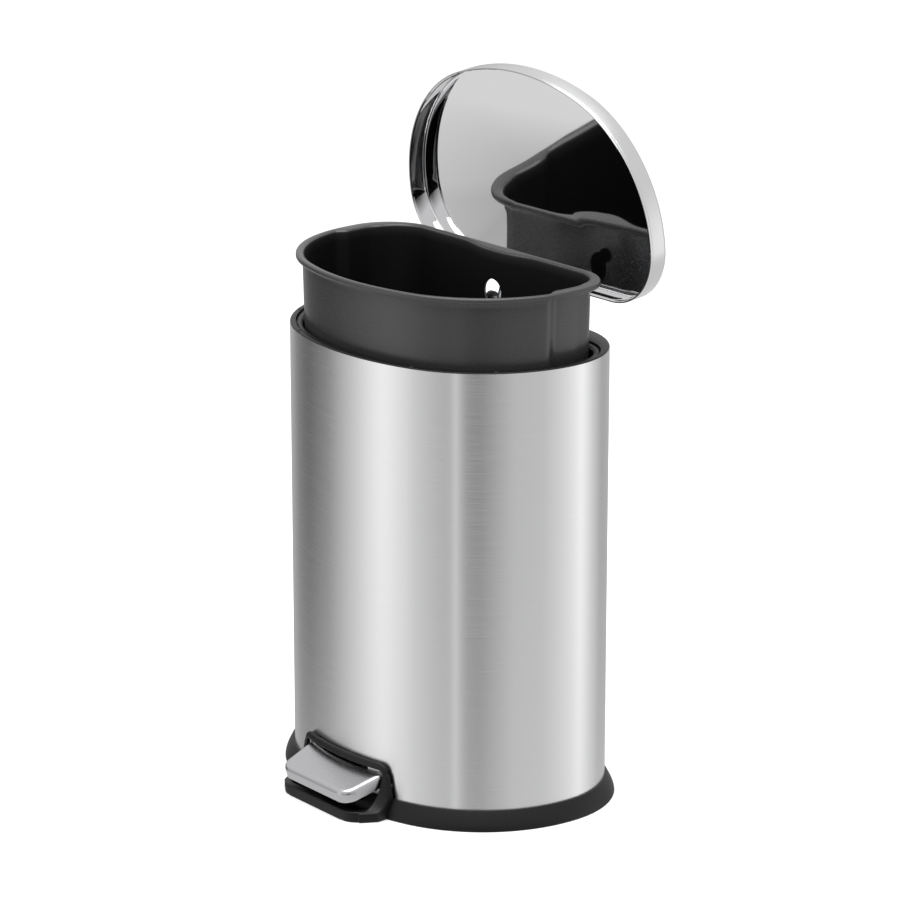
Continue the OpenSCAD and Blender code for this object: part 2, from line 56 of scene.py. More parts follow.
def put(tree, kind, inputs=None, **settings):
    made = tree.nodes.new(kind)
    for key, value in settings.items():
        setattr(made, key, value)
    for key, value in (inputs or {}).items():
        if isinstance(value, bpy.types.NodeSocket):
            tree.links.new(value, made.inputs[key])
        else:
            made.inputs[key].default_value = value
    return made


# Finishes
def finish(name, colour, roughness, metallic=0.0, grain=None, relief=0.0, spread=0.0, extra=None):
    # grain is the pattern's pitch along X, Y and Z in mm; relief is its depth in mm
    made = bpy.data.materials.new(name)
    made.use_nodes = True
    tree = made.node_tree
    shader = tree.nodes["Principled BSDF"]
    shader.inputs["Base Color"].default_value = linear(colour)
    shader.inputs["Metallic"].default_value = metallic
    shader.inputs["Roughness"].default_value = roughness
    for key, value in (extra or {}).items():
        shader.inputs[key].default_value = value
    if grain:
        where = put(tree, "ShaderNodeTexCoord")
        scaled = put(tree, "ShaderNodeMapping", {
            "Vector": where.outputs["Object"],
            "Scale": tuple(1 / (pitch * mm) for pitch in grain)})
        noise = put(tree, "ShaderNodeTexNoise", {
            "Vector": scaled.outputs["Vector"], "Scale": 1.0, "Detail": 4.0, "Roughness": 0.6})
        rough = put(tree, "ShaderNodeMapRange", {
            "Value": noise.outputs["Fac"], "From Min": 0.3, "From Max": 0.7,
            "To Min": roughness - spread, "To Max": roughness + spread})
        tree.links.new(rough.outputs["Result"], shader.inputs["Roughness"])
        bump = put(tree, "ShaderNodeBump", {
            "Height": noise.outputs["Fac"], "Distance": relief * mm, "Strength": 1.0})
        tree.links.new(bump.outputs["Normal"], shader.inputs["Normal"])
    return made


def combed(made, amount, turn=0.25):
    # the light is drawn out across the grain, as brushing does
    tree = made.node_tree
    shader = tree.nodes["Principled BSDF"]
    along = put(tree, "ShaderNodeTangent", direction_type="RADIAL", axis="Z")
    tree.links.new(along.outputs["Tangent"], shader.inputs["Tangent"])
    shader.inputs["Anisotropic"].default_value = amount
    shader.inputs["Anisotropic Rotation"].default_value = turn
    return made


# level brushing, 0.5 mm high and 40 mm long: tall light bands and a fine level grain
bodySteel = combed(finish("brushed steel, level grain", "#dededf", 0.25, 1.0, (40, 40, 0.5), 0.0015, 0.025), 0.85)
# a satin skirt, brighter and smoother than the body
lidSteel = combed(finish("satin steel, rolled", "#cfcfd0", 0.26, 1.0, (60, 60, 60), 0.002, 0.02), 0.5)
# polished: reflects the bucket and the room
mirrorSteel = finish("polished steel", "#e2e2e3", 0.035, 1.0, (90, 90, 90), 0.002, 0.01)
# short grain across the pedal, 0.4 mm apart
pedalSteel = finish("brushed steel, cross grain", "#bcbcbe", 0.26, 1.0, (25, 0.4, 0.4), 0.0003, 0.02)
# zinc plate: a slightly blue metal with a mottled gloss, 3 mm patches
zincPlate = finish("zinc plated steel", "#a9acb0", 0.36, 1.0, (3, 3, 3), 0.004, 0.06)
# blackened clips and spring
blackOxide = finish("black oxide steel", "#3a3b3d", 0.42, 1.0, (2, 2, 2), 0.004, 0.05)
# moulded black plastic: satin with a 0.6 mm spark texture
blackPlastic = finish("moulded black plastic", "#070708", 0.42, 0.0, (0.6, 0.6, 0.6), 0.003, 0.04,
                      {"Specular IOR Level": 0.32})
# satin dark grey moulding, waxy highlights
greyPlastic = finish("moulded grey plastic", "#303031", 0.28, 0.0, (1.2, 1.2, 1.2), 0.001, 0.02)
# the same moulding inside the bucket, painted darker as shade and made duller
shadedInnerPlastic = finish("moulded plastic, inside, painted shade", "#040405", 0.55, 0.0, (1.2, 1.2, 1.2), 0.002, 0.03,
                      {"Specular IOR Level": 0.25})
# dull black rubber, 0.9 mm grain
softRubber = finish("rubber", "#242425", 0.75, 0.0, (0.9, 0.9, 0.9), 0.01, 0.05)
print("finishes ready")


# Meshes, drawn in mm
def solid(name, points, faces, bands=None):
    data = bpy.data.meshes.new(name)
    data.from_pydata([(x * mm, y * mm, z * mm) for x, y, z in points], [], faces)
    if bands:
        data.polygons.foreach_set("material_index", bands)
    made = bpy.data.objects.new(name, data)
    bpy.context.scene.collection.objects.link(made)
    return made


def tidy(made, angle=38, flip=True):
    data = made.data
    if flip:
        work = bmesh.new()
        work.from_mesh(data)
        bmesh.ops.remove_doubles(work, verts=work.verts, dist=1e-6)
        bmesh.ops.recalc_face_normals(work, faces=work.faces)
        work.to_mesh(data)
        work.free()
    data.polygons.foreach_set("use_smooth", [True] * len(data.polygons))
    data.set_sharp_from_angle(angle=math.radians(angle))
    data.update()
    return made


def baked(made):
    # the object's shape with its modifiers applied
    graph = bpy.context.evaluated_depsgraph_get()
    data = bpy.data.meshes.new_from_object(made.evaluated_get(graph), depsgraph=graph)
    made.modifiers.clear()
    made.data = data
    return made


def cut(made, *cutters):
    for cutter in cutters:
        step = made.modifiers.new("cut", "BOOLEAN")
        step.operation = "DIFFERENCE"
        step.solver = "EXACT"
        step.object = cutter
    baked(made)
    for cutter in cutters:
        bpy.data.objects.remove(cutter)
    return made


def piece(made, body, nodes, slot, *materials):
    for material in materials:
        made.data.materials.append(material)
    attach(made, body)
    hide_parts(*nodes)
    print("built", made.name, len(made.data.polygons))
    return made


def loft(name, rings, ends=(True, True), loop=False, bands=None):
    # skins a stack of rings of equal length, one surface number per band
    n = len(rings[0])
    points = [p for ring in rings for p in ring]
    faces, marks = [], []
    pairs = list(range(len(rings) - 1)) + ([len(rings) - 1] if loop else [])
    for k in pairs:
        m = (k + 1) % len(rings)
        for i in range(n):
            j = (i + 1) % n
            faces.append((k * n + i, k * n + j, m * n + j, m * n + i))
            marks.append(bands[k] if bands else 0)
    if ends[0] and not loop:
        faces.append(tuple(range(n - 1, -1, -1)))
        marks.append(bands[0] if bands else 0)
    if ends[1] and not loop:
        last = (len(rings) - 1) * n
        faces.append(tuple(range(last, last + n)))
        marks.append(bands[-1] if bands else 0)
    return solid(name, points, faces, marks)


def box(low, high):
    points = [(x, y, z) for z in (low[2], high[2]) for y in (low[1], high[1]) for x in (low[0], high[0])]
    faces = [(0, 2, 3, 1), (4, 5, 7, 6), (0, 1, 5, 4), (2, 6, 7, 3), (0, 4, 6, 2), (1, 3, 7, 5)]
    return solid("cutter", points, faces)


def rod(centre, axis, radius, half, n=72):
    points, faces = [], []
    u, v = [(Vector((0, 1, 0)), Vector((0, 0, 1))), (Vector((0, 0, 1)), Vector((1, 0, 0))),
            (Vector((1, 0, 0)), Vector((0, 1, 0)))][axis]
    w = u.cross(v)
    for side in (-1, 1):
        for i in range(n):
            a = 2 * math.pi * i / n
            points.append(Vector(centre) + radius * (math.cos(a) * u + math.sin(a) * v) + side * half * w)
    for i in range(n):
        j = (i + 1) % n
        faces.append((i, j, n + j, n + i))
    faces.append(tuple(range(n - 1, -1, -1)))
    faces.append(tuple(range(n, 2 * n)))
    return solid("cutter", points, faces)


# Plan lines: a flatter front arc, round sides, a flat back with round corners
can = {"halfWidth": 167.5, "back": 111.8, "top": 427.2, "side": 130.0, "corner": 87.4,
       "sheet": 0.8, "seat": 17.5, "windowHalf": 34.0, "windowTop": 46.5, "wellHalf": 66.0, "wellDepth": 9.3,
       "wellFront": 92.5, "slotHalf": 4.5, "slotLow": 409.6}
wideY = can["back"] - can["corner"]
frontLength = can["back"] + wideY
sideX = can["halfWidth"] - can["side"]
frontRadius = (sideX ** 2 + frontLength ** 2 - can["side"] ** 2) / (2 * (frontLength - can["side"]))
frontY = frontRadius - can["back"]
joinAngle = math.degrees(math.atan2(frontY - wideY, sideX))
wellShare = can["wellHalf"] / (can["halfWidth"] - can["corner"])


def stations(back, corner, frontSteps=48, sideSteps=40, cornerSteps=28, backSteps=40):
    # each station is a centre, a radius and an angle, so that an inset only shortens the radius
    found = []
    for i in range(frontSteps + 1):
        a = joinAngle - 180 + (180 - 2 * joinAngle) * i / frontSteps
        found.append((0.0, frontY, frontRadius, a))
    for i in range(1, sideSteps + 1):
        found.append((sideX, wideY, can["side"], -joinAngle + joinAngle * i / sideSteps))
    for i in range(1, cornerSteps + 1):
        found.append((can["halfWidth"] - corner, back - corner, corner, 90 * i / cornerSteps))
    shares = [1 - 2 * i / backSteps for i in range(1, backSteps)]
    near = min(shares, key=lambda s: abs(s - wellShare))
    shares = [math.copysign(wellShare, s) if abs(abs(s) - near) < 1e-6 else s for s in shares]
    for share in shares:
        found.append(((can["halfWidth"] - corner) * share, back - corner, corner, 90.0))
    for i in range(cornerSteps + 1):
        found.append((corner - can["halfWidth"], back - corner, corner, 90 + 90 * i / cornerSteps))
    for i in range(1, sideSteps):
        found.append((-sideX, wideY, can["side"], 180 + joinAngle * i / sideSteps))
    return found


def ring(line, inset, z, more=None):
    made = []
    for i, (cx, cy, r, a) in enumerate(line):
        reach = r - inset - (more[i] if more else 0.0)
        made.append((cx + reach * math.cos(math.radians(a)), cy + reach * math.sin(math.radians(a)), z))
    return made


bodyLine = stations(can["back"], can["corner"])


def frontFace(x):
    # y of the steel's front at x
    if abs(x) <= frontRadius * math.cos(math.radians(joinAngle)):
        return frontY - math.sqrt(frontRadius ** 2 - x * x)
    return wideY - math.sqrt(can["side"] ** 2 - (abs(x) - sideX) ** 2)


# Body sheet: a Geometry Nodes rule draws the outline up, cuts the openings and gives it its thickness
def newGroup(name, sockets):
    tree = bpy.data.node_groups.new(name, "GeometryNodeTree")
    tree.interface.new_socket("Geometry", in_out="OUTPUT", socket_type="NodeSocketGeometry")
    tree.interface.new_socket("Geometry", in_out="INPUT", socket_type="NodeSocketGeometry")
    for label, kind, value in sockets:
        made = tree.interface.new_socket(label, in_out="INPUT", socket_type="NodeSocket" + kind)
        if value is not None:
            made.default_value = value
    return tree, put(tree, "NodeGroupInput"), put(tree, "NodeGroupOutput")


def runGroup(made, tree, values):
    step = made.modifiers.new("rule", "NODES")
    step.node_group = tree
    names = {item.name: item.identifier for item in tree.interface.items_tree
             if item.item_type == "SOCKET" and item.in_out == "INPUT"}
    for label, value in values.items():
        step[names[label]] = value
    return baked(made)


def sheetRule():
    tree, given, result = newGroup("sheet body", [
        ("Lower", "Float", 0.03), ("Middle", "Float", 0.3), ("Upper", "Float", 0.01), ("Hem", "Float", 0.001),
        ("Sheet", "Float", 0.001), ("Window half width", "Float", 0.03), ("Window top", "Float", 0.05),
        ("Well half width", "Float", 0.06), ("Well bottom", "Float", 0.4), ("Finish", "Material", None)])
    shape, edge = given.outputs["Geometry"], None
    for label in ("Lower", "Middle", "Upper", "Hem"):
        up = put(tree, "ShaderNodeCombineXYZ", {"Z": given.outputs[label]})
        drawn = put(tree, "GeometryNodeExtrudeMesh", {
            "Mesh": shape, "Offset": up.outputs["Vector"], "Offset Scale": 1.0}, mode="EDGES")
        if edge:
            tree.links.new(edge, drawn.inputs["Selection"])
        shape, edge = drawn.outputs["Mesh"], drawn.outputs["Top"]
    place = put(tree, "ShaderNodeSeparateXYZ", {"Vector": put(tree, "GeometryNodeInputPosition").outputs[0]})
    across = put(tree, "ShaderNodeMath", {0: place.outputs["X"]}, operation="ABSOLUTE")

    def less(a, b):
        return put(tree, "ShaderNodeMath", {0: a, 1: b}, operation="LESS_THAN").outputs[0]

    def both(a, b):
        return put(tree, "ShaderNodeMath", {0: a, 1: b}, operation="MULTIPLY").outputs[0]

    window = both(both(less(across.outputs[0], given.outputs["Window half width"]),
                       less(place.outputs["Z"], given.outputs["Window top"])), less(place.outputs["Y"], 0.0))
    well = both(both(less(across.outputs[0], given.outputs["Well half width"]),
                     less(given.outputs["Well bottom"], place.outputs["Z"])), less(0.0, place.outputs["Y"]))
    either = put(tree, "ShaderNodeMath", {0: window, 1: well}, operation="ADD")
    opened = put(tree, "GeometryNodeDeleteGeometry", {
        "Geometry": shape, "Selection": either.outputs[0]}, domain="FACE")
    outer = put(tree, "GeometryNodeExtrudeMesh", {
        "Mesh": opened.outputs[0], "Offset Scale": given.outputs["Sheet"], "Individual": False}, mode="FACES")
    inner = put(tree, "GeometryNodeFlipFaces", {"Mesh": opened.outputs[0]})
    joined = put(tree, "GeometryNodeJoinGeometry")
    tree.links.new(outer.outputs["Mesh"], joined.inputs[0])
    tree.links.new(inner.outputs["Mesh"], joined.inputs[0])
    welded = put(tree, "GeometryNodeMergeByDistance", {"Geometry": joined.outputs[0], "Distance": 0.00002})
    whole = put(tree, "GeometryNodeRealizeInstances", {"Geometry": welded.outputs[0]})
    painted = put(tree, "GeometryNodeSetMaterial", {
        "Geometry": whole.outputs[0], "Material": given.outputs["Finish"]})
    tree.links.new(painted.outputs[0], result.inputs[0])
    return tree


footRing = ring(bodyLine, can["sheet"], can["seat"])
steelBody = bpy.data.objects.new("shown_steel_body", bpy.data.meshes.new("shown_steel_body"))
steelBody.data.from_pydata([(x * mm, y * mm, z * mm) for x, y, z in footRing],
                           [(i, (i + 1) % len(footRing)) for i in range(len(footRing))], [])
bpy.context.scene.collection.objects.link(steelBody)
runGroup(steelBody, sheetRule(), {
    "Lower": (can["windowTop"] - can["seat"]) * mm,
    "Middle": (can["top"] - can["wellDepth"] - can["windowTop"]) * mm,
    "Upper": (can["wellDepth"] - 0.5) * mm, "Hem": 0.5 * mm, "Sheet": can["sheet"] * mm,
    "Window half width": (can["windowHalf"] + 1) * mm, "Window top": (can["windowTop"] - 1) * mm,
    "Well half width": (can["wellHalf"] - 1) * mm, "Well bottom": (can["top"] - can["wellDepth"] + 1) * mm,
    "Finish": bodySteel})
tidy(steelBody)
cut(steelBody, box((-can["slotHalf"], can["wellFront"], can["slotLow"]),
                   (can["slotHalf"], can["back"] + 1.2, can["top"] + 0.8)))  # slot the crank swings through
piece(steelBody, "can", ["body_shell"], "steel_shell")

# Base: a flared band, a plug inside the steel and two bosses for the axle
foot = {"flare": 8.5, "wall": 3.0, "plugTop": 29.5, "gap": 1.1, "axleY": -89.1, "axleZ": 30.0, "axle": 8.16,
        "bossX": 13.0, "bossWide": 9.0, "bossRound": 8.0, "notch": 10.0, "channelHalf": 6.0, "channelLow": 12.0}
flareLevels = [(0.0, -foot["flare"] + 0.6), (0.6, -foot["flare"]), (3.0, -0.94 * foot["flare"])]
for i in range(1, 9):
    t = i / 8
    flareLevels.append((3 + (can["seat"] - 3.7) * t, -foot["flare"] * (0.94 - 0.78 * t ** 1.25)))
flareLevels += [(can["seat"], -0.9), (can["seat"], foot["gap"]), (foot["plugTop"] - 0.6, foot["gap"]),
                (foot["plugTop"], foot["gap"] + 0.6), (foot["plugTop"], foot["gap"] + foot["wall"]),
                (foot["wall"] + 1.5, foot["gap"] + foot["wall"]), (foot["wall"], foot["gap"] + foot["wall"] + 1.5)]
baseBand = tidy(loft("shown_base", [ring(bodyLine, inset, z) for z, inset in flareLevels]))
cut(baseBand, box((-can["windowHalf"], -130, foot["notch"]), (can["windowHalf"], 6 - can["back"], 40)),
    box((-foot["channelHalf"], 98.7, foot["channelLow"]), (foot["channelHalf"], 110.3, 40)))  # room for the rod


def boss(x):
    y, r = foot["axleY"], foot["bossRound"]
    line = [(y - r, foot["wall"] / 2), (y + r, foot["wall"] / 2)]
    line += [(y + r * math.cos(math.radians(a)), foot["axleZ"] + r * math.sin(math.radians(a)))
             for a in range(0, 181, 6)]
    rings = [[(x + side * foot["bossWide"] / 2, py, pz) for py, pz in line] for side in (-1, 1)]
    return cut(tidy(loft("boss", rings)), rod((x, foot["axleY"], foot["axleZ"]), 0, foot["axle"] / 2, 10))


def join(name, parts):
    work = bmesh.new()
    for part in parts:
        work.from_mesh(part.data)
    data = bpy.data.meshes.new(name)
    work.to_mesh(data)
    work.free()
    first = parts[0]
    first.data = data
    first.name = name
    for part in parts[1:]:
        bpy.data.objects.remove(part)
    return first


join("shown_base", [baseBand] + [boss(s * (foot["bossX"] + foot["bossWide"] / 2)) for s in (-1, 1)])
tidy(baseBand)
piece(baseBand, "can", ["base"], "black_plastic", blackPlastic)

# Top ring: two lips with a groove between them, a skirt inside the steel and a well at the back
hoop = {"gap": 1.1, "lip": 5.2, "rise": 1.1, "drop": 1.6, "skirt": 22.0, "groove": 1.2, "inner": 12.9,
        "back": 91.1, "corner": 56.9}
binLine = stations(hoop["back"], hoop["corner"])
lipTop = can["top"] + hoop["rise"]
shelf = lipTop - hoop["drop"]
lipIn = hoop["gap"] + hoop["lip"]
hoopRings = [ring(bodyLine, hoop["gap"], shelf - hoop["skirt"]),
             ring(bodyLine, hoop["gap"], lipTop - 0.9), ring(bodyLine, hoop["gap"] + 0.3, lipTop - 0.3),
             ring(bodyLine, hoop["gap"] + 0.9, lipTop),
             ring(binLine, lipIn - 0.7, lipTop), ring(binLine, lipIn - 0.2, lipTop - 0.2),
             ring(binLine, lipIn, lipTop - 0.7), ring(binLine, lipIn, shelf - 2),
             ring(binLine, lipIn + hoop["groove"], shelf - 2), ring(binLine, lipIn + hoop["groove"], shelf - 0.5),
             ring(binLine, lipIn + hoop["groove"] + 0.5, shelf), ring(binLine, hoop["inner"] - 2.3, shelf),
             ring(binLine, hoop["inner"] - 1.6, shelf - 0.2), ring(binLine, hoop["inner"], shelf - 1.8),
             ring(binLine, hoop["inner"], shelf - 12), ring(binLine, hoop["inner"] - 1.6, shelf - 12),
             ring(binLine, hoop["inner"] - 1.6, shelf - 4), ring(bodyLine, hoop["gap"] + 2, shelf - 4),
             ring(bodyLine, hoop["gap"] + 2, shelf - hoop["skirt"])]
topRing = tidy(loft("shown_top_ring", hoopRings, loop=True))
cut(topRing, box((-can["wellHalf"], can["wellFront"], shelf - 40), (can["wellHalf"], 130, 440)),
    box((-8.5, can["wellFront"] - 10, shelf - 22), (8.5, can["wellFront"] + 1, 440)))
tidy(topRing)
piece(topRing, "can", ["top_ring"], "black_plastic", blackPlastic)
print("body done")

# Bucket: rolled rim, flats at both sides, a hollow in the back wall and a finger hole
pail = {"wallIn": 12.9, "rimTop": 493.3, "rimHigh": 5.0, "height": 385.0, "thick": 2.0, "lean": 8.0,
        "step": 7.0, "hollow": 7.5, "hollowHalf": 53.0, "flatFrom": 3.0, "flatTo": 84.0, "hole": 11.9,
        "holeDrop": 39.5}
pailTop = pail["rimTop"]
pailLow = pailTop - pail["height"]
extra = []
for x, y, z in ring(binLine, pail["wallIn"], 0):
    dent = 0.0
    if y > 77.8:
        dent = pail["hollow"] * ease((pail["hollowHalf"] - abs(x)) / 44)
    elif abs(x) > 100 and y > 0:
        dent = pail["step"] * ease((y - pail["flatFrom"]) / 10) * ease((pail["flatTo"] - y) / 34)
    extra.append(dent)
wallLevels = [20, 60, 110, 160, 200, 230, 260] + list(range(284, 378, 6))


def wall(inset, height, share=1.0):
    lean = pail["lean"] * (1 - height / pail["height"])
    return ring(binLine, pail["wallIn"] + inset + lean, pailLow + height, [e * share for e in extra])


pailRings = [wall(4.2, 0), wall(2.2, 1), wall(0.6, 3.2)]
pailRings += [wall(0, h) for h in wallLevels]
pailRings += [wall(0.2, pail["height"] - 7), ring(binLine, 12.4, pailTop - pail["rimHigh"], extra),
              ring(binLine, 8.2, pailTop - pail["rimHigh"])]
rim = [(7.4, -4.7), (6.95, -4.0), (6.9, -2.4), (7.1, -1.2), (7.7, -0.4), (8.6, 0.0), (9.8, 0.0)]
pailRings += [ring(binLine, inset, pailTop + z) for inset, z in rim]
pailRings += [ring(binLine, 11.4, pailTop - 0.15, extra), ring(binLine, 12.8, pailTop - 0.7, extra),
              ring(binLine, 14.0, pailTop - 1.6, extra), ring(binLine, 14.9, pailTop - 3.2, extra)]
pailRings += [wall(pail["thick"], h) for h in reversed(wallLevels)]
pailRings += [wall(pail["thick"] + 0.4, 8), wall(pail["thick"] + 1.6, 4.2), wall(pail["thick"] + 4.4, 2.6)]
rimCount = 3 + len(wallLevels) + 3 + len(rim) + 2
innerPail = tidy(loft("shown_bucket", pailRings, bands=[0 if k < rimCount else 1 for k in range(len(pailRings))]))
cut(innerPail, rod((0, 78, pailTop - pail["holeDrop"]), 1, pail["hole"], 14))
tidy(innerPail, 42)
piece(innerPail, "bucket", ["bucket"], "grey_plastic", greyPlastic, shadedInnerPlastic)

# Lid: satin skirt with a hem, softly domed top, polished inside; drawn shut, then opened
cover = {"edge": 429.1, "high": 19.6, "over": 1.5, "sheet": 0.8, "hem": 1.8, "round": 3.5, "dome": 6.0,
         "hingeY": 117.7, "hingeZ": 427.6, "angle": 83.0, "back": 86.1, "corner": 58.5}
lidLine = stations(cover["back"], cover["corner"])
coverTop = cover["edge"] + cover["high"]


def opened(points):
    turn = Matrix.Rotation(-math.radians(cover["angle"]), 3, "X")
    pivot = Vector((0, cover["hingeY"], cover["hingeZ"]))
    return [tuple(turn @ (Vector(p) - pivot) + pivot) for p in points]


def dome(inset, base, share):
    # a ring of the top: share 1 is its edge and 0 its middle
    edge = ring(lidLine, inset, 0)
    return [(x * share, -8 + (y + 8) * share, base + cover["dome"] * (1 - share * share)) for x, y, z in edge]


out = -cover["over"]
coverRings, bands = [], []


def addRing(points, mark):
    coverRings.append(points)
    bands.append(mark)


for inset, z in ((0.3, 0.0), (0.0, 0.4), (0.0, 2.4), (0.12, 2.6), (0.0, 2.8)):
    addRing(ring(lidLine, out + inset, cover["edge"] + z), 0)
for i in range(7):
    a = math.radians(15 * i)
    r = cover["round"]
    addRing(ring(lidLine, out + r * (1 - math.cos(a)), coverTop - r + r * math.sin(a)), 0)
shares = [1 - i / 26 for i in range(1, 26)]
for share in shares:
    addRing(dome(out + cover["round"], coverTop, share), 0)
outerCount = len(coverRings)
for share in reversed(shares):
    addRing(dome(out + cover["round"], coverTop - cover["sheet"], share), 1)
for i in range(6, -1, -1):
    a = math.radians(15 * i)
    r = cover["round"] - cover["sheet"]
    addRing(ring(lidLine, out + cover["sheet"] + r * (1 - math.cos(a)),
                 coverTop - cover["round"] + r * math.sin(a)), 1)
hemLevels = ((cover["sheet"], 2.9), (cover["sheet"] + 0.25, 2.35), (cover["hem"] - 0.4, 2.3), (cover["hem"], 1.9),
             (cover["hem"], 0.4), (cover["hem"] - 0.4, 0.0))
for inset, z in hemLevels:
    addRing(ring(lidLine, out + inset, cover["edge"] + z), 1)


def twoSided(name, rings, marks, split):
    # outer stack up to its middle, then the inner stack back down, closed at the edge
    n = len(rings[0])
    points = [p for r in rings for p in opened(r)]
    faces, kinds = [], []
    for k in range(len(rings)):
        if k == split - 1:
            continue
        m = (k + 1) % len(rings)
        for i in range(n):
            j = (i + 1) % n
            faces.append((k * n + i, k * n + j, m * n + j, m * n + i))
            kinds.append(marks[k])
    faces.append(tuple((split - 1) * n + i for i in range(n)))
    faces.append(tuple(split * n + i for i in range(n - 1, -1, -1)))
    kinds += [0, 1]
    return solid(name, points, faces, kinds)


lidShell = tidy(twoSided("shown_lid", coverRings, bands, outerCount), 30)
piece(lidShell, "lid", ["lid_shell"], "lid_steel", lidSteel, mirrorSteel)
print("lid done")

# Pedal: a folded steel cap with soft edges, open towards the body
tread = {"half": 54.0, "taper": 4.0, "reach": 149.77, "round": 14.0, "high": 12.0, "sheet": 1.2, "slope": 15.5,
         "pivotY": -109.3, "pivotZ": 39.5, "gap": 3.0}


def treadLine(inset, z, behind=0.0):
    half, front = tread["half"] - inset, tread["half"] - tread["taper"] - inset
    r = max(tread["round"] - inset, 0.5)
    low = -tread["reach"] + inset
    made = []
    for i in range(25):
        x = half * (1 - 2 * i / 24)
        made.append((x, frontFace(x) - tread["gap"] + behind + (0 if behind else inset * 0.4), z))
    for a in range(180, 271, 6):
        made.append((-front + r + r * math.cos(math.radians(a)), low + r + r * math.sin(math.radians(a)), z))
    for i in range(1, 20):
        made.append((-front + r + 2 * (front - r) * i / 20, low, z))
    for a in range(270, 361, 6):
        made.append((front - r + r * math.cos(math.radians(a)), low + r + r * math.sin(math.radians(a)), z))
    return made


treadRings = [treadLine(0.0, -tread["high"]), treadLine(0.0, -4.2), treadLine(0.2, -3.1), treadLine(0.7, -2.0),
              treadLine(1.5, -1.05), treadLine(2.6, -0.4), treadLine(3.9, -0.08), treadLine(5.4, 0.0)]
hollow = [treadLine(tread["sheet"], -30, 9), treadLine(tread["sheet"], -4.6, 9),
          treadLine(tread["sheet"] + 2.6, -1.6, 9)]
pedal = tidy(loft("shown_pedal", treadRings))
cut(pedal, tidy(loft("cutter", hollow)))
tilt = Matrix.Rotation(math.radians(tread["slope"]), 4, "X")
pivot = Matrix.Translation((0, tread["pivotY"] * mm, tread["pivotZ"] * mm))
pedal.data.transform(pivot @ tilt @ Matrix.Translation((0, -tread["pivotY"] * mm, 0)))
tidy(pedal, 32)
piece(pedal, "pedal", ["pedal_cap"], "pedal_steel", pedalSteel)

# Shroud: one moulding that frames the pedal and sweeps down into a lip on the floor
hood = {"top": 50.0, "topHalf": 60.0, "footHalf": 65.0, "openTop": 43.5, "openHalf": 55.6, "thick": 5.2,
        "clear": 0.4, "cornerOut": 9.0, "cornerIn": 4.0, "sweep": 27.0, "lipTop": 10.0, "lipFront": 143.8,
        "lipHalf": 61.0, "lipRound": 19.0, "lipWide": 6.5, "grain": 0.8}


def archPoint(side, u, outer):
    # u runs 0 to 1 from the foot of a leg to the middle of the band
    top = hood["top"] if outer else hood["openTop"]
    low, head = (hood["footHalf"], hood["topHalf"]) if outer else (hood["openHalf"], hood["openHalf"])
    r = hood["cornerOut"] if outer else hood["cornerIn"]
    if u < 0.6:
        z = (top - r) * u / 0.6
        return side * (low + (head - low) * clamp((z - can["seat"]) / (top - can["seat"]))), z
    if u < 0.75:
        a = math.radians(90 * (u - 0.6) / 0.15)
        return side * (head - r + r * math.cos(a)), top - r + r * math.sin(a)
    return side * (head - r) * (1 - (u - 0.75) / 0.25), top


def reachAt(z):
    u = clamp((44 - z) / 35)
    return hood["sweep"] * (1 - math.sqrt(max(0.0, 1 - u * u)))


def backOf(x, z):
    clear = hood["clear"]
    if z <= can["seat"]:
        clear += foot["flare"] * (0.94 - 0.9 * (z / can["seat"]) ** 1.2)
    return frontFace(x) - clear


archRings = []
for k in range(-60, 61):
    side, u = (-1 if k < 0 else 1), 1 - abs(k) / 60
    xo, zo = archPoint(side, u, True)
    xi, zi = archPoint(side, u, False)
    fo, fi = frontFace(xo) - hood["thick"] - 0.55 * reachAt(zo), frontFace(xi) - hood["thick"] - reachAt(zi)
    archRings.append([(xi, backOf(xi, zi), zi), (xi, fi, zi), (xo, fo + 0.8, zo), (xo, backOf(xo, zo), zo)])
arch = tidy(loft("arch", archRings))


def lipLine(inset, z):
    half, front = hood["lipHalf"] - inset, hood["lipHalf"] - 4 - inset
    r = hood["lipRound"] - inset
    low = -hood["lipFront"] + inset
    made = [(-half, -110, z), (-half + 0.4, -118, z)]
    for a in range(180, 271, 6):
        made.append((-front + r + r * math.cos(math.radians(a)), low + r + r * math.sin(math.radians(a)), z))
    for a in range(270, 361, 6):
        made.append((front - r + r * math.cos(math.radians(a)), low + r + r * math.sin(math.radians(a)), z))
    return made + [(half - 0.4, -118, z), (half, -110, z)]


lipRings = [[a, b, c, d] for a, b, c, d in zip(lipLine(-1, 0), lipLine(-1, hood["lipTop"]),
                                             lipLine(hood["lipWide"] - 1, hood["lipTop"] + 0.6),
                                             lipLine(hood["lipWide"] - 1, 0))]
lipWall = tidy(loft("lip", lipRings))
floorRings = [lipLine(0, 0), lipLine(0, 3)]
floorPlate = tidy(loft("plate", floorRings))
shroud = join("shown_pedal_shroud", [arch, lipWall, floorPlate])
bandCut = [ring(bodyLine, inset - hood["clear"], z) for z, inset in flareLevels[:12]]
bandCut.append(ring(bodyLine, -hood["clear"], 60))
bandCut[0] = [(x, y, -5) for x, y, z in bandCut[0]]
remesh = shroud.modifiers.new("mould", "REMESH")
remesh.mode = "VOXEL"
remesh.voxel_size = hood["grain"] * mm
smooth = shroud.modifiers.new("soften", "SMOOTH")
smooth.factor = 0.5
smooth.iterations = 9
baked(shroud)
cut(shroud, tidy(loft("cutter", bandCut)), box((-90, -160, -6), (90, -80, 0)))
tidy(shroud, 50)
piece(shroud, "can", ["pedal_shroud"], "black_plastic", blackPlastic)
print("pedal and shroud done")

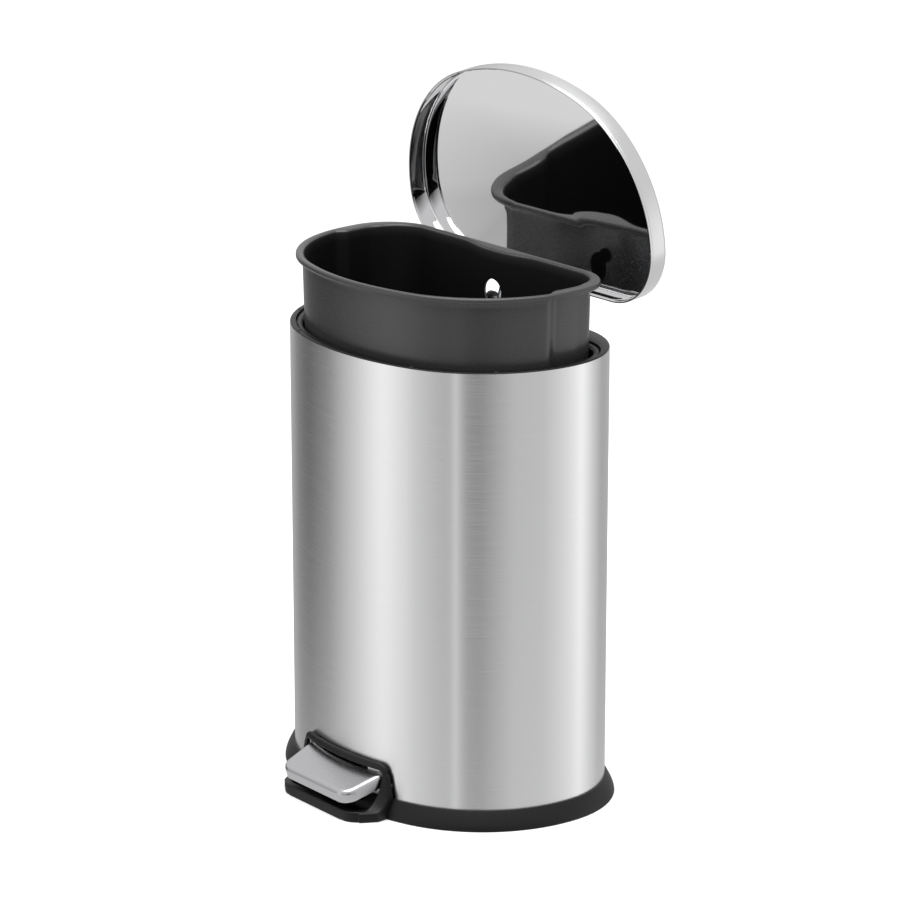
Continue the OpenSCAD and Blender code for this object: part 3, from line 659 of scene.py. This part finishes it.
# Small repeated parts: a Geometry Nodes rule sets one part on each marked place
def repeatRule():
    tree, given, result = newGroup("repeat", [
        ("Part", "Object", None), ("Turn", "Float", 0.0), ("Seed", "Int", 3), ("Finish", "Material", None)])
    facing = put(tree, "GeometryNodeInputNamedAttribute", {"Name": "facing"}, data_type="FLOAT_VECTOR")
    aim = put(tree, "FunctionNodeAlignRotationToVector", {"Vector": facing.outputs[0]}, axis="Z")
    chance = put(tree, "FunctionNodeRandomValue", {"Seed": given.outputs["Seed"]}, data_type="FLOAT")
    angle = put(tree, "ShaderNodeMath", {0: chance.outputs[1], 1: given.outputs["Turn"]}, operation="MULTIPLY")
    spin = put(tree, "ShaderNodeCombineXYZ", {"Z": angle.outputs[0]})
    turned = put(tree, "FunctionNodeRotateRotation", {
        "Rotation": aim.outputs[0], "Rotate By": spin.outputs[0]}, rotation_space="LOCAL")
    part = put(tree, "GeometryNodeObjectInfo", {"Object": given.outputs["Part"]})
    placed = put(tree, "GeometryNodeInstanceOnPoints", {
        "Points": given.outputs["Geometry"], "Instance": part.outputs["Geometry"], "Rotation": turned.outputs[0]})
    whole = put(tree, "GeometryNodeRealizeInstances", {"Geometry": placed.outputs[0]})
    painted = put(tree, "GeometryNodeSetMaterial", {
        "Geometry": whole.outputs[0], "Material": given.outputs["Finish"]})
    tree.links.new(painted.outputs[0], result.inputs[0])
    return tree


repeat = repeatRule()


def turnedPart(profile, recess=0.0, n=48):
    # a lathe profile of radius and height; recess sinks a cross into the top
    rings = []
    for r, z in profile:
        made = []
        for i in range(n):
            a = 2 * math.pi * i / n
            x, y = r * math.cos(a), r * math.sin(a)
            arm = min(abs(x), abs(y)) < 0.45 and max(abs(x), abs(y)) < 1.9
            made.append((x, y, z - (recess if arm and z > 0.5 else 0.0)))
        rings.append(made)
    return tidy(loft("part", rings), 40)


def scatter(name, places, part, material, turn=0.0):
    made = bpy.data.objects.new(name, bpy.data.meshes.new(name))
    made.data.from_pydata([tuple(c * mm for c in p) for p, d in places], [], [])
    mark = made.data.attributes.new("facing", "FLOAT_VECTOR", "POINT")
    for i, (p, d) in enumerate(places):
        mark.data[i].vector = d
    bpy.context.scene.collection.objects.link(made)
    runGroup(made, repeat, {"Part": part, "Turn": turn, "Seed": 3, "Finish": material})
    bpy.data.objects.remove(part)
    return tidy(made, 40)


def panHead(r, h, shank, length):
    head = [(shank, -length), (shank, 0), (r * 0.97, 0), (r, 0.15), (r, h * 0.45), (r * 0.93, h * 0.72),
            (r * 0.78, h * 0.9), (r * 0.6, h * 0.98), (r * 0.45, h), (r * 0.3, h), (r * 0.15, h), (0.05, h)]
    return turnedPart(head, 0.8)


hingeScrews = scatter("shown_hinge_housing_screws", [((s * 69.5, 98.8, 430.6), (0, 0, 1)) for s in (-1, 1)],
                      panHead(3.2, 1.8, 1.6, 12), zincPlate, 6.0)
piece(hingeScrews, "can", ["housing_screws"], "zinc_steel")
guideScrews = scatter("shown_guide_screws", [((5, 111.8, z), (0, 1, 0)) for z in (150, 300)],
                      panHead(3.6, 1.6, 2.0, 3.9), zincPlate, 6.0)
piece(guideScrews, "can", ["guide_screws"], "zinc_steel")
rubberFeet = scatter("shown_rubber_feet", [((s * 95, y, 2), (0, 0, -1)) for s in (-1, 1) for y in (78, -62)],
                     turnedPart([(10.9, 0), (11, 0.2), (11, 1.5), (10.4, 2.0), (7, 2.0), (6.6, 1.6), (0.1, 1.6)]),
                     softRubber)
piece(rubberFeet, "can", ["rubber_feet"], "rubber")


def lipPoint(a):
    mid = hoop["gap"] + hoop["lip"] / 2
    s, c = math.sin(math.radians(a)), math.cos(math.radians(a))
    if abs(a) < 90 - joinAngle:
        return (frontRadius - mid) * s, frontY - (frontRadius - mid) * c, lipTop
    return (math.copysign(sideX, a) + (can["side"] - mid) * s, wideY - (can["side"] - mid) * c, lipTop)


bumpers = scatter("shown_lid_bumpers", [(lipPoint(a), (0, 0, 1)) for a in (-55, -20, 20, 55)],
                  turnedPart([(1, -3), (1, 0), (1.8, 0), (1.8, 0.2), (1.5, 0.42), (1.0, 0.5), (0.05, 0.5)]),
                  softRubber)
piece(bumpers, "can", ["lid_bumpers"], "rubber")
rivetZ = cover["edge"] + 2 + (cover["high"] - 4.6) / 2
heads, tails = [], []
for x in (-54, -24, 24, 54):
    for y, facing, found in ((89.1, (0, 1, 0), heads), (86.8, (0, -1, 0), tails)):
        at = opened([(x, y, rivetZ)])[0]
        tip = opened([(x, y + facing[1], rivetZ)])[0]
        found.append((at, tuple(Vector(tip) - Vector(at))))
rivetShape = [(1.6, -1.1), (1.6, 0), (3.0, 0), (2.95, 0.35), (2.6, 0.7), (1.9, 0.93), (1.0, 1.0), (0.05, 1.0)]
tailShape = [(1.6, -1.1), (1.6, 0.1), (2.6, 0.1), (2.6, 0.6), (2.2, 0.85), (0.05, 0.85)]
rivetHeads = scatter("shown_rivet_heads", heads, turnedPart(rivetShape), zincPlate)
rivetTails = scatter("shown_rivet_tails", tails, turnedPart(tailShape), zincPlate)
rivets = join("shown_lid_rivets", [rivetHeads, rivetTails])
tidy(rivets)
piece(rivets, "lid", ["lid_rivets"], "zinc_steel", zincPlate)
print("small parts done")

# Carried pieces keep their shape and take a finish
carried = {
    # the pedal lever takes the dark black oxide finish, partly as painted shade: it keeps the gap under the band dark
    "shroud_screws": zincPlate, "pedal_axle": zincPlate, "axle_clips": blackOxide, "pedal_lever": blackOxide,
    "pedal_spring": blackOxide, "push_rod": zincPlate, "rod_pin": zincPlate, "rod_guides": blackPlastic,
    "hinge_housing": blackPlastic, "hinge_pin": zincPlate, "pin_clips": blackOxide, "lid_bracket": zincPlate,
    "crank_pin": zincPlate}
for name, material in carried.items():
    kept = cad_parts[name]
    kept.data.materials.clear()
    kept.data.materials.append(material)

# Studio: white sweep, light that changes round the horizon, one large panel above
world = bpy.data.worlds.new("studio")
bpy.context.scene.world = world
world.use_nodes = True
sky = world.node_tree
sky.nodes.clear()
look = put(sky, "ShaderNodeTexCoord")
parts = put(sky, "ShaderNodeSeparateXYZ", {"Vector": look.outputs["Generated"]})
ahead = put(sky, "ShaderNodeMath", {0: parts.outputs["Y"], 1: -1.0}, operation="MULTIPLY")
bearing = put(sky, "ShaderNodeMath", {0: parts.outputs["X"], 1: ahead.outputs[0]}, operation="ARCTAN2")
share = put(sky, "ShaderNodeMapRange", {
    "Value": bearing.outputs[0], "From Min": -math.pi, "From Max": math.pi, "To Min": 0.0, "To Max": 1.0})
panels = put(sky, "ShaderNodeValToRGB", {"Fac": share.outputs["Result"]})
# bearing of each panel or gap in degrees from the front, and its brightness
lights = [(-180, 0.45), (-130, 0.55), (-100, 0.40), (-78, 0.07), (-60, 0.2), (-42, 0.74), (-26, 1.35), (-8, 0.78),
          (14, 0.46), (25, 0.38), (28, 0.95), (32, 0.40), (38, 0.10), (48, 0.04), (60, 0.26), (75, 0.52), (100, 0.60),
          (120, 0.95), (139, 1.40), (160, 0.80), (180, 0.45)]
stops = panels.color_ramp.elements
for i, (bearingAt, level) in enumerate(lights):
    at = (bearingAt + 180) / 360
    stop = stops[i] if i < 2 else stops.new(at)
    stop.position = at
    stop.color = (level / 2, level / 2, level / 2, 1)
brighter = put(sky, "ShaderNodeMath", {0: panels.outputs["Color"], 1: 2.0}, operation="MULTIPLY")
below = put(sky, "ShaderNodeMapRange", {
    "Value": parts.outputs["Z"], "From Min": -0.35, "From Max": -0.43, "To Min": 0.0, "To Max": 1.0})
rise = put(sky, "ShaderNodeMapRange", {
    "Value": parts.outputs["Z"], "From Min": -0.05, "From Max": 0.35, "To Min": 0.0, "To Max": 1.0})
overhead = put(sky, "ShaderNodeMapRange", {
    "Value": rise.outputs["Result"], "From Min": 0.0, "From Max": 1.0,
    "To Min": brighter.outputs[0], "To Max": 0.9})
swept = put(sky, "ShaderNodeMapRange", {
    "Value": below.outputs["Result"], "From Min": 0.0, "From Max": 1.0,
    "To Min": overhead.outputs["Result"], "To Max": 0.85})
background = put(sky, "ShaderNodeBackground", {"Color": swept.outputs["Result"], "Strength": 1.0})
put(sky, "ShaderNodeOutputWorld", {"Surface": background.outputs[0]})

floorData = bpy.data.meshes.new("floor")
floorData.from_pydata([(-14, -14, 0), (14, -14, 0), (14, 14, 0), (-14, 14, 0)], [], [(0, 1, 2, 3)])
floor = bpy.data.objects.new("floor", floorData)
bpy.context.scene.collection.objects.link(floor)
# plain paper sweep with a little light of its own, so that it stays white to the horizon
floorData.materials.append(finish("white sweep", "#fbfbfb", 0.9, extra={
    "Emission Color": (1, 1, 1, 1), "Emission Strength": 0.1}))
floor.visible_glossy = False

panelData = bpy.data.lights.new("overhead_panel", "AREA")
panelData.shape = "RECTANGLE"
panelData.size = 2.4
panelData.size_y = 2.4
panelData.energy = 60
panel = bpy.data.objects.new("overhead_panel", panelData)
panel.location = (0.2, -0.3, 2.4)
bpy.context.scene.collection.objects.link(panel)

view = {"azimuth": 50.156, "elevation": 15.994, "distance": 3.3126, "lens": 145.8, "rise": -0.0722,
        "target": (0.02246, -0.0017, 0.3821)}
az, el = math.radians(view["azimuth"]), math.radians(view["elevation"])
backward = Vector((math.sin(az) * math.cos(el), -math.cos(az) * math.cos(el), math.sin(el)))
cameraData = bpy.data.cameras.new("camera")
cameraData.lens = view["lens"]
cameraData.sensor_width = 36
cameraData.shift_y = view["rise"]
cameraData.clip_end = 60
camera = bpy.data.objects.new("camera", cameraData)
camera.location = Vector(view["target"]) + backward * view["distance"]
camera.rotation_euler = (-backward).to_track_quat("-Z", "Y").to_euler()
bpy.context.scene.collection.objects.link(camera)
bpy.context.scene.camera = camera
bpy.context.scene.view_settings.view_transform = "Standard"

print("scene ready")
